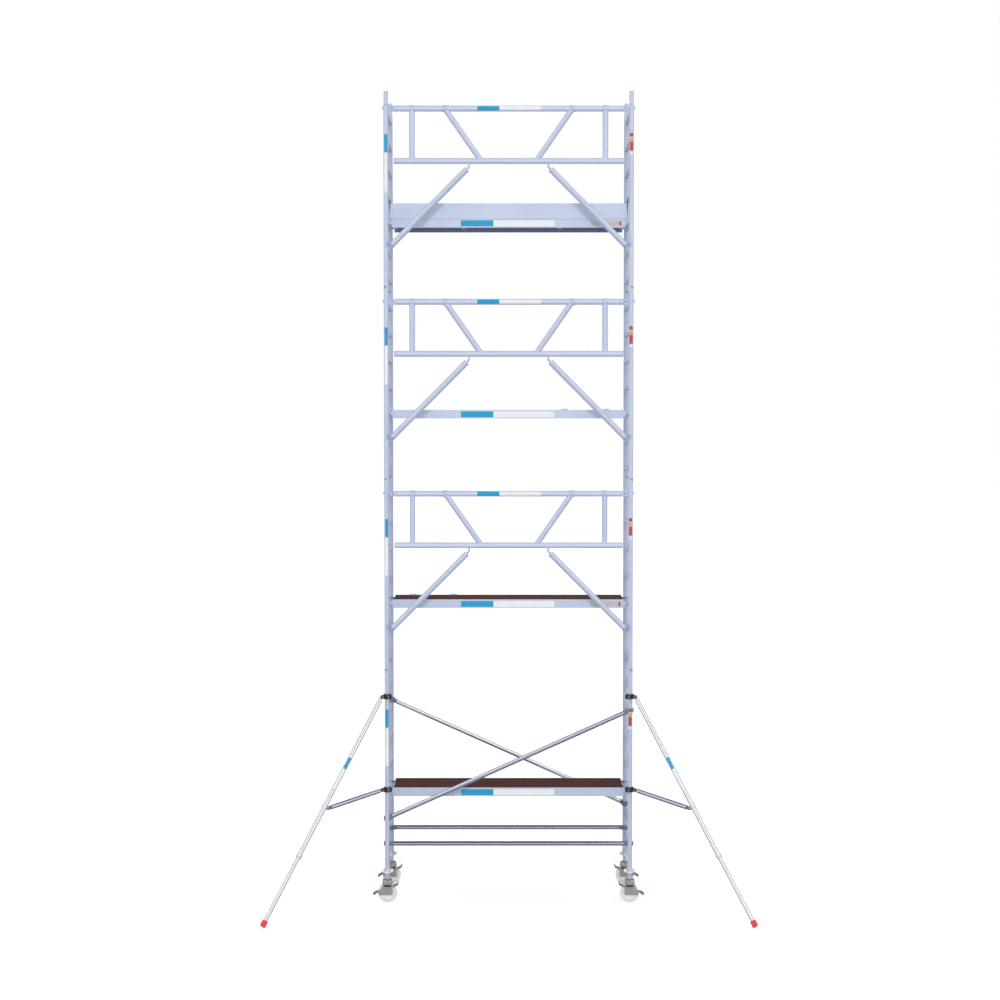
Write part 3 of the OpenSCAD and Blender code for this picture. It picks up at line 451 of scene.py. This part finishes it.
def leg_pick(c, n):
    u, _ = from_stabiliser_post(c)
    off = (u - LEG_OUT) * math.cos(LEAN) + (c.z - LEG_HIGH) * math.sin(LEAN)
    return 1 if abs(off) > LEG_REACH else 0


for s, _ in SIDES:
    for k in LIFTS:
        assign(f"frame_{s}_{k}", [alu_z, alu_y], post_or_rung)

for k in RAIL_LIFTS:
    assign(f"guardrail_{k}", [alu_x, alu_jaw, alu_d], rail_pick(rail_top(k)))
    pivot_z = rail_top(k) - RAIL_GAP - GUARD_PIVOT_DROP
    for s, sx in SIDES:
        assign(f"guard_brace_{s}_{k}", [alu_d, alu_hook], guard_pick(sx, pivot_z))

for r, _ in ROWS:
    # The far diagonal takes the lighter, painted-light copy of the brace metal.
    assign(f"diagonal_brace_{r}", [chrome_far_painted_light if r == "far" else chrome, alu_clamp], brace_pick)
    assign(f"horizontal_brace_{r}", [chrome, alu_clamp], brace_pick)

for k in LIFTS:
    (_, y0, _), (_, y1, _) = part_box(f"platform_frame_{k}")
    assign(f"platform_frame_{k}", [alu_beam, alu_painted_shade], beam_pick(y0, y1))
    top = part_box(f"deck_{k}")[1][2]
    for name in ([f"deck_{k}"] if k == 1 else [f"deck_{k}", f"hatch_{k}"]):
        assign(name, [ply_top, ply_under_painted_shade, ply_edge, alu_z], deck_pick(top))
assign("toe_boards", [alu_beam])
assign("toe_board_clips", [black, alu_beam], clip_pick)
assign("lock_clips", [dark_steel])
assign("adjusting_nuts", [pale, alu_z], nut_pick)

for s, _ in SIDES:
    for r, _ in ROWS:
        assign(f"spindle_{s}_{r}", [alu_spindle, lever, pale], spindle_pick)
        assign(f"castor_fork_{s}_{r}", [taupe, seal_band_and_shade, pale], fork_pick)
        assign(f"wheel_{s}_{r}", [white, tyre, dark_steel], wheel_pick)
        assign(f"brake_{s}_{r}", [lever, pedal], brake_pick)
    assign(f"stabiliser_clamps_{s}", [black, zinc], clamp_pick)
    assign(f"stabiliser_leg_{s}", [leg_metal_painted_highlight, chrome], leg_pick)
    assign(f"stabiliser_inner_{s}", [leg_metal_painted_highlight])
    assign(f"stabiliser_foot_{s}", [red])


# Added pieces

def finish_mesh(name, bm, mats, body, smooth=True):
    """Turn bm into a piece that rides on a body."""
    me = bpy.data.meshes.new(name)
    bmesh.ops.recalc_face_normals(bm, faces=bm.faces)
    bm.to_mesh(me)
    bm.free()
    for m in mats:
        me.materials.append(m)
    for p in me.polygons:
        p.use_smooth = smooth
    ob = bpy.data.objects.new(name, me)
    scene.collection.objects.link(ob)
    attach(ob, body)


def rounded_plate(bm, width, height, thick, corner, matrix, mat, bend_r=None):
    """Thin plate with round corners in the local XZ plane, its face towards -Y.
    bend_r wraps it round a tube along Z."""
    corner_steps, columns = 4, 14

    def place(x, out, z):
        if bend_r:
            a = x / bend_r
            return matrix @ Vector(((bend_r + out) * math.sin(a), -(bend_r + out) * math.cos(a), z))
        return matrix @ Vector((x, -out, z))

    xs = [-width / 2 + corner * (1 - math.cos(math.radians(i * 90 / corner_steps)))
          for i in range(corner_steps)]
    xs += [-width / 2 + corner + (width - 2 * corner) * i / columns for i in range(columns + 1)]
    xs += [-x for x in reversed(xs[:corner_steps])]
    rows = []
    for x in xs:
        dx = max(0.0, abs(x) - (width / 2 - corner))
        h = height / 2 - corner + math.sqrt(max(corner ** 2 - dx ** 2, 0.0))
        section = ((0.0, -h), (thick, -h), (thick * 1.25, -h + thick * 2),
                   (thick * 1.25, h - thick * 2), (thick, h), (0.0, h))
        rows.append([bm.verts.new(place(x, out, z)) for out, z in section])
    faces = [bm.faces.new((p[j], q[j], q[j + 1], p[j + 1]))
             for p, q in zip(rows, rows[1:]) for j in range(len(p) - 1)]
    faces += [bm.faces.new(rows[0]), bm.faces.new(rows[-1][::-1])]
    for f in faces:
        f.material_index = mat


def join(bm, p, q):
    """Band of faces between two rings."""
    for i in range(len(p)):
        j = (i + 1) % len(p)
        bm.faces.new((p[i], p[j], q[j], q[i]))


def turned(bm, centre, axis, profile, segs):
    """Rings round an axis, one for each radius and height of the profile, joined by faces."""
    n = Vector(axis).normalized()
    u = n.orthogonal().normalized()
    v = n.cross(u)
    angles = [2 * math.pi * j / segs for j in range(segs)]
    spokes = [u * math.cos(a) + v * math.sin(a) for a in angles]
    rings = [[bm.verts.new(Vector(centre) + n * h + spoke * r) for spoke in spokes]
             for r, h in profile]
    for p, q in zip(rings, rings[1:]):
        join(bm, p, q)
    return rings


def weld_ring(bm, x0, y0, z0, side):
    """Rippled weld bead on the saddle where a rung along Y meets a post.
    side is 1 where the rung leaves the post towards +Y, and -1 towards -Y."""
    segs, sub, ripples = 28, 6, 14
    sink, bead_r = 0.0004, 0.0026
    post_r, tube_r = POST_R + sink, RUNG_R - sink
    rings = []
    for i in range(segs):
        a = 2 * math.pi * i / segs
        w = bead_r * (1.0 + 0.12 * math.sin(a * ripples))
        x, z = tube_r * math.cos(a), tube_r * math.sin(a)
        base = Vector((x0 + x, y0 + side * math.sqrt(post_r ** 2 - x ** 2), z0 + z))
        radial, away = Vector((math.cos(a), 0, math.sin(a))), Vector((0, side, 0))
        turns = [2 * math.pi * j / sub for j in range(sub)]
        rings.append([bm.verts.new(base + radial * (w * math.cos(b)) + away * (w * math.sin(b)))
                      for b in turns])
    for i in range(segs):
        join(bm, rings[i], rings[(i + 1) % segs])


def dome(bm, centre, normal, radius, height, segs=12):
    """Rivet or screw head: a low dome."""
    profile = [(radius, 0.0)]
    for t in (math.pi / 6, math.pi / 3):
        profile.append((radius * math.cos(t), height * (0.25 + 0.75 * math.sin(t))))
    last = turned(bm, centre, normal, profile, segs)[-1]
    tip = bm.verts.new(Vector(centre) + Vector(normal).normalized() * height)
    for j in range(segs):
        bm.faces.new((last[j], last[(j + 1) % segs], tip))


def tube_cap(bm, centre, axis, r):
    """Plug in the open end of a tube, with a rounded rim."""
    profile = ((r * 0.92, -0.012), (r * 0.925, 0.0003), (r, 0.0006), (r, 0.0022),
               (r * 0.9, 0.0038), (r * 0.45, 0.0034))
    bm.faces.new(turned(bm, centre, axis, profile, 24)[-1])


def sleeve(bm, centre, axis, r, wall, length):
    """Short collar round a tube, with bevelled ends."""
    half = length / 2
    profile = ((r, -half), (r + wall * 0.6, -half), (r + wall, -half + wall),
               (r + wall, half - wall), (r + wall * 0.6, half), (r, half))
    rings = turned(bm, centre, axis, profile, 40)
    join(bm, rings[-1], rings[0])


# Weld beads of the ladder frames
for s, sx in SIDES:
    for k in LIFTS:
        bm = bmesh.new()
        for i in range(RUNGS):
            z = BASE + (k - 1) * LIFT + RUNG_FIRST + i * RUNG_PITCH
            weld_ring(bm, sx * HALF, Y_NEAR, z, 1)
            weld_ring(bm, sx * HALF, Y_FAR, z, -1)
        finish_mesh(f"frame_welds_{s}_{k}", bm, [alu_weld], "tower")


# Plain colour plates on the beams: width, height, corner, middle along X and material
BEAM_PLATES = ((0.334, 0.062, 0.006, -0.324, 0), (0.628, 0.062, 0.006, 0.159, 1))
END_PLATES = ((0.29, 0.046, 0.005, 0.99, 2), (0.02, 0.046, 0.004, 1.148, 3))
END_PLATE_LIFTS = (2, 4)
BEAM_PLATE_T, BEAM_PLATE_DROP = 0.0006, 0.002
Y_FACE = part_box("platform_frame_2")[0][1]
for k in LIFTS:
    bot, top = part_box(f"platform_frame_{k}")[0][2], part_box(f"deck_{k}")[1][2]
    zc = (bot + top) / 2 - BEAM_PLATE_DROP
    bm = bmesh.new()
    plates = BEAM_PLATES + (END_PLATES if k in END_PLATE_LIFTS else ())
    for width, height, corner, x, m in plates:
        mt = Matrix.Translation((x, Y_FACE, zc))
        rounded_plate(bm, width, height, BEAM_PLATE_T, corner, mt, m)
    finish_mesh(f"beam_plate_{k}", bm, [plate_blue, plate_white, plate_grey, plate_red], "tower",
                False)

# Plain colour plates round the rails and posts: ends and material
RAIL_PLATES = ((-0.319, -0.095, 0), (-0.093, 0.33, 1))
LEFT_POST_PLATES = ((1.485, 1.67, 0), (1.085, 1.48, 1))
RIGHT_POST_PLATES = ((1.643, 1.68, 0), (1.593, 1.627, 1), (1.502, 1.591, 0), (1.47, 1.49, 2))
TUBE_PLATE_T, TUBE_PLATE_LIFT = 0.0005, 0.0002
for k in RAIL_LIFTS:
    bm = bmesh.new()
    lying = Matrix.Rotation(math.radians(90), 4, "Y")
    for a, b, m in RAIL_PLATES:
        mt = Matrix.Translation(((a + b) / 2, Y_NEAR, rail_top(k))) @ lying
        rounded_plate(bm, 0.046, b - a, TUBE_PLATE_T, 0.005, mt, m, RAIL_R + TUBE_PLATE_LIFT)
    finish_mesh(f"rail_plate_{k}", bm, [plate_blue, plate_white], "tower", False)

for k in LIFTS:
    z0 = BASE + (k - 1) * LIFT
    bm = bmesh.new()
    for a, b, m in LEFT_POST_PLATES:
        mt = Matrix.Translation((-HALF, Y_NEAR, z0 + (a + b) / 2))
        rounded_plate(bm, 0.034, b - a, TUBE_PLATE_T, 0.006, mt, m, POST_R + TUBE_PLATE_LIFT)
    finish_mesh(f"post_plate_left_{k}", bm, [plate_blue, plate_white], "tower",
                False)
    bm = bmesh.new()
    for a, b, m in RIGHT_POST_PLATES:
        mt = Matrix.Translation((HALF, Y_NEAR, z0 + (a + b) / 2))
        rounded_plate(bm, 0.036, b - a, TUBE_PLATE_T, 0.005, mt, m, POST_R + TUBE_PLATE_LIFT)
    finish_mesh(f"post_plate_right_{k}", bm, [plate_red, plate_amber, plate_white], "tower",
                False)


# Rivets of the platforms, clear of the plates, and screws of the decks, clear of the hatches
END_RIVET_X = 1.13
RIVETS_X = (-1.18, -1.13, -0.56, -0.51, 0.5, 0.55, END_RIVET_X, 1.18)
RIVETS_DOWN = (0.03, 0.066)
SCREWS = 14
SCREW_END, SCREW_EDGE, SCREW_SINK = 0.03, 0.012, 0.0002
for k in LIFTS:
    (_, y0, _), (_, y1, _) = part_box(f"platform_frame_{k}")
    (dx0, dy0, _), (dx1, dy1, top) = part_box(f"deck_{k}")
    bm = bmesh.new()
    for x in RIVETS_X:
        for down in RIVETS_DOWN:
            for y, n in ((y0, -1), (y1, 1)):
                if x == END_RIVET_X and n < 0 and k in END_PLATE_LIFTS:
                    continue
                dome(bm, (x, y, top - down), (0, n, 0), 0.005, 0.0022)
    finish_mesh(f"platform_rivets_{k}", bm, [alu_beam], "tower")
    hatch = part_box(f"hatch_{k}") if k > 1 else None
    bm = bmesh.new()
    for i in range(SCREWS):
        x = dx0 + SCREW_END + i * (dx1 - dx0 - 2 * SCREW_END) / (SCREWS - 1)
        if hatch and hatch[0][0] - SCREW_EDGE < x < hatch[1][0] + SCREW_EDGE:
            continue
        for y in (dy0 + SCREW_EDGE, dy1 - SCREW_EDGE):
            dome(bm, (x, y, top - SCREW_SINK), (0, 0, 1), 0.0045, 0.0014)
    finish_mesh(f"deck_screws_{k}", bm, [zinc], "tower")


# Caps in the open ends of the lower guardrail tubes
for k in RAIL_LIFTS:
    bm = bmesh.new()
    for _, sx in SIDES:
        tube_cap(bm, (sx * RAIL_END, Y_NEAR, rail_top(k) - RAIL_GAP), (sx, 0, 0), RAIL_R)
    finish_mesh(f"rail_caps_{k}", bm, [cap_grey], "tower")

# Sleeves of the struts on the top rails
SLEEVE_PLAY, SLEEVE_WALL, SLEEVE_LENGTH = 0.0001, 0.0034, 0.058
for k in RAIL_LIFTS:
    bm = bmesh.new()
    for x in (-STRUT_X, -LEANING_X, LEANING_X, STRUT_X):
        sleeve(bm, (x, Y_NEAR, rail_top(k)), (1, 0, 0), RAIL_R + SLEEVE_PLAY, SLEEVE_WALL,
               SLEEVE_LENGTH)
    finish_mesh(f"rail_sleeves_{k}", bm, [alu_d], "tower")


# Rivets that hold the jaws in the tubes, and the pins of jaws and spigots
TUBE_RIVET_IN, TUBE_RIVET_SINK = 0.022, 0.0003
JAW_PIN_X, JAW_PIN_SIDE = HALF - 0.061, 0.0159
SPIGOT_PIN_SIDE, SPIGOT_PIN_UP = 0.0215, 0.008


def tube_rivets(name, ends, r):
    """Four rivets round each tube end. ends lists the ends with the direction into the tube."""
    bm = bmesh.new()
    side = Vector((0, 1, 0))
    for p, d in ends:
        d = Vector(d).normalized()
        up = d.cross(side).normalized()
        for a in (0, 90, 180, 270):
            n = side * math.cos(math.radians(a)) + up * math.sin(math.radians(a))
            seat = Vector(p) + d * TUBE_RIVET_IN + n * (r - TUBE_RIVET_SINK)
            dome(bm, seat, n, 0.0042, 0.002)
    finish_mesh(name, bm, [zinc], "tower")


def level_ends(x, y, z):
    return [((-x, y, z), (1, 0, 0)), ((x, y, z), (-1, 0, 0))]


for k in RAIL_LIFTS:
    z = rail_top(k)
    tube_rivets(f"rail_rivets_{k}", level_ends(RAIL_END, Y_NEAR, z), RAIL_R)
    bm = bmesh.new()
    for _, sx in SIDES:
        for n in (-1, 1):
            dome(bm, (sx * JAW_PIN_X, Y_NEAR + n * JAW_PIN_SIDE, z), (0, n, 0), 0.007, 0.003, 16)
    finish_mesh(f"jaw_pins_{k}", bm, [pin_blue], "tower")

for s, sx in SIDES:
    z = BASE + len(LIFTS) * LIFT + SPIGOT_PIN_UP
    bm = bmesh.new()
    for _, y in ROWS:
        for n in (-1, 1):
            dome(bm, (sx * HALF, y + n * SPIGOT_PIN_SIDE, z), (0, n, 0), 0.0055, 0.002, 14)
    finish_mesh(f"spigot_rivets_{s}", bm, [pin_blue], "tower")

for r, y in ROWS:
    ends = level_ends(HALF - BRACE_JAW, y, BASE + HORIZONTAL_Z)
    za, zb = BASE + DIAGONAL_LOW, BASE + DIAGONAL_HIGH
    if r == "far":
        za, zb = zb, za
    d = Vector((2 * HALF, 0, zb - za)).normalized()
    ends.append((Vector((-HALF, y, za)) + d * BRACE_JAW, d))
    ends.append((Vector((HALF, y, zb)) - d * BRACE_JAW, -d))
    tube_rivets(f"brace_rivets_{r}", ends, BRACE_R)


# Plain colour plates on the stabiliser legs: ends along the leg and material
LEG_PLATES = ((0.72, 0.85, 0), (0.855, 1.08, 1))
ct, st = math.cos(TURN), math.sin(TURN)
for s, sx in SIDES:
    d = Vector((sx * math.sin(LEAN) * ct, -math.sin(LEAN) * st, -math.cos(LEAN)))
    head = Vector((sx * (HALF + LEG_OUT * ct), Y_NEAR - LEG_OUT * st, LEG_HIGH))
    front = Vector((0, -1, 0))
    front = (front - d * front.dot(d)).normalized()
    rot = Matrix((d.cross(front), -front, d)).transposed().to_4x4()
    bm = bmesh.new()
    for a, b, m in LEG_PLATES:
        mt = Matrix.Translation(head + d * (a + b) / 2) @ rot
        rounded_plate(bm, 0.03, b - a, TUBE_PLATE_T, 0.005, mt, m, LEG_R + TUBE_PLATE_LIFT)
    finish_mesh(f"leg_plate_{s}", bm, [plate_blue, plate_white], f"stabiliser_{s}",
                False)


# Floor, light and camera

def floor_material():
    """Pale floor that stays lit diffusely, so it keeps the shadow, and meets the white background
    without a seam."""
    m, nt, b = new_material("floor_white")
    b.inputs["Roughness"].default_value = 0.9
    b.inputs["Specular IOR Level"].default_value = 0.0
    tone = noise(nt, 0.4, detail=2.0)
    pale_tone = ramp(nt, tone, [(0.3, (0.93, 0.93, 0.93)), (0.7, (0.95, 0.95, 0.95))])
    ray = nt.nodes.new("ShaderNodeLightPath")
    seen = highest(nt, ray.outputs["Is Camera Ray"], ray.outputs["Is Glossy Ray"])
    nt.links.new(mix(nt, seen, (0.7, 0.7, 0.72), pale_tone), b.inputs["Base Color"])
    lift = nt.nodes.new("ShaderNodeMath")
    lift.operation = "MULTIPLY"
    lift.inputs[1].default_value = 0.2
    nt.links.new(seen, lift.inputs[0])
    b.inputs["Emission Color"].default_value = (1, 1, 1, 1)
    nt.links.new(lift.outputs[0], b.inputs["Emission Strength"])
    return m


bm = bmesh.new()
bmesh.ops.create_grid(bm, x_segments=8, y_segments=8, size=120.0)
me = bpy.data.meshes.new("floor")
bm.to_mesh(me)
bm.free()
me.materials.append(floor_material())
floor = bpy.data.objects.new("floor", me)
scene.collection.objects.link(floor)


def card(name, size, loc, level, turn=None):
    """Grey studio card that only shows in reflections, so that bright tubes get a darker line.
    It lies flat, or stands upright and turned about Z by turn degrees."""
    bm = bmesh.new()
    bmesh.ops.create_grid(bm, x_segments=6, y_segments=6, size=0.5)
    place = Matrix.Diagonal((size[0], size[1], 1, 1))
    if turn is not None:
        upright = Matrix.Rotation(math.radians(90), 4, "X")
        place = Matrix.Rotation(math.radians(turn), 4, "Z") @ upright @ place
    bmesh.ops.transform(bm, matrix=Matrix.Translation(loc) @ place, verts=bm.verts)
    me = bpy.data.meshes.new(name)
    bm.to_mesh(me)
    bm.free()
    m, nt, b = new_material(name)
    b.inputs["Base Color"].default_value = (0, 0, 0, 1)
    b.inputs["Specular IOR Level"].default_value = 0.0
    b.inputs["Emission Color"].default_value = (level, level, level * 1.15, 1)
    b.inputs["Emission Strength"].default_value = 1.0
    me.materials.append(m)
    ob = bpy.data.objects.new(name, me)
    scene.collection.objects.link(ob)
    for ray in ("camera", "diffuse", "shadow", "transmission", "volume_scatter"):
        setattr(ob, f"visible_{ray}", False)


card("card_overhead", (16.6, 110), (-4.1, 0, 32), 0.05)
card("card_low", (90, 90), (0, 0, 0.004), 0.3)
card("card_left", (56, 60), (-49, 34, 26), 0.14, 55)
card("card_right", (56, 60), (49, 34, 26), 0.14, -55)

# White background for the camera and for reflections, a little weaker as a light
world = bpy.data.worlds.new("studio")
scene.world = world
world.use_nodes = True
wt = world.node_tree
bg = wt.nodes["Background"]
bg.inputs["Color"].default_value = (1, 1, 1, 1)
ray = wt.nodes.new("ShaderNodeLightPath")
seen = highest(wt, ray.outputs["Is Camera Ray"], ray.outputs["Is Glossy Ray"])
level = wt.nodes.new("ShaderNodeMapRange")
level.inputs["To Min"].default_value = 0.82
level.inputs["To Max"].default_value = 1.0
wt.links.new(highest(wt, seen, ray.outputs["Is Transmission Ray"]), level.inputs["Value"])
wt.links.new(level.outputs["Result"], bg.inputs["Strength"])


def sun(name, direction, strength, soft):
    """Sun lamp. soft is its angle in degrees."""
    d = bpy.data.lights.new(name, "SUN")
    d.energy = strength
    d.angle = math.radians(soft)
    ob = bpy.data.objects.new(name, d)
    ob.rotation_euler = Vector(direction).to_track_quat("-Z", "Y").to_euler()
    ob.visible_glossy = False
    scene.collection.objects.link(ob)


sun("key", (0.0, 0.92, -0.4), 1.15, 9)
sun("back_left", (0.75, -0.6, -0.4), 0.5, 80)
sun("back_right", (-0.75, -0.6, -0.4), 0.5, 80)

# Camera fitted to the photograph: focal length and picture width in pixels, place and tilt
FOCAL_PX, WIDTH_PX, SENSOR_MM = 2089.13, 1000.0, 36.0
CAM_X, CAM_BACK, CAM_Z, CAM_DOWN = -0.0882, -21.3941, 5.0083, 2.3036
cam = bpy.data.cameras.new("camera")
cam.sensor_width = SENSOR_MM
cam.sensor_fit = "HORIZONTAL"
cam.lens = FOCAL_PX / WIDTH_PX * SENSOR_MM
cam.clip_end = 500.0
cam_ob = bpy.data.objects.new("camera", cam)
cam_ob.location = (CAM_X, CAM_BACK + Y_NEAR, CAM_Z)
cam_ob.rotation_euler = (math.radians(90 - CAM_DOWN), 0, 0)
scene.collection.objects.link(cam_ob)
scene.camera = cam_ob

scene.view_settings.view_transform = "Standard"
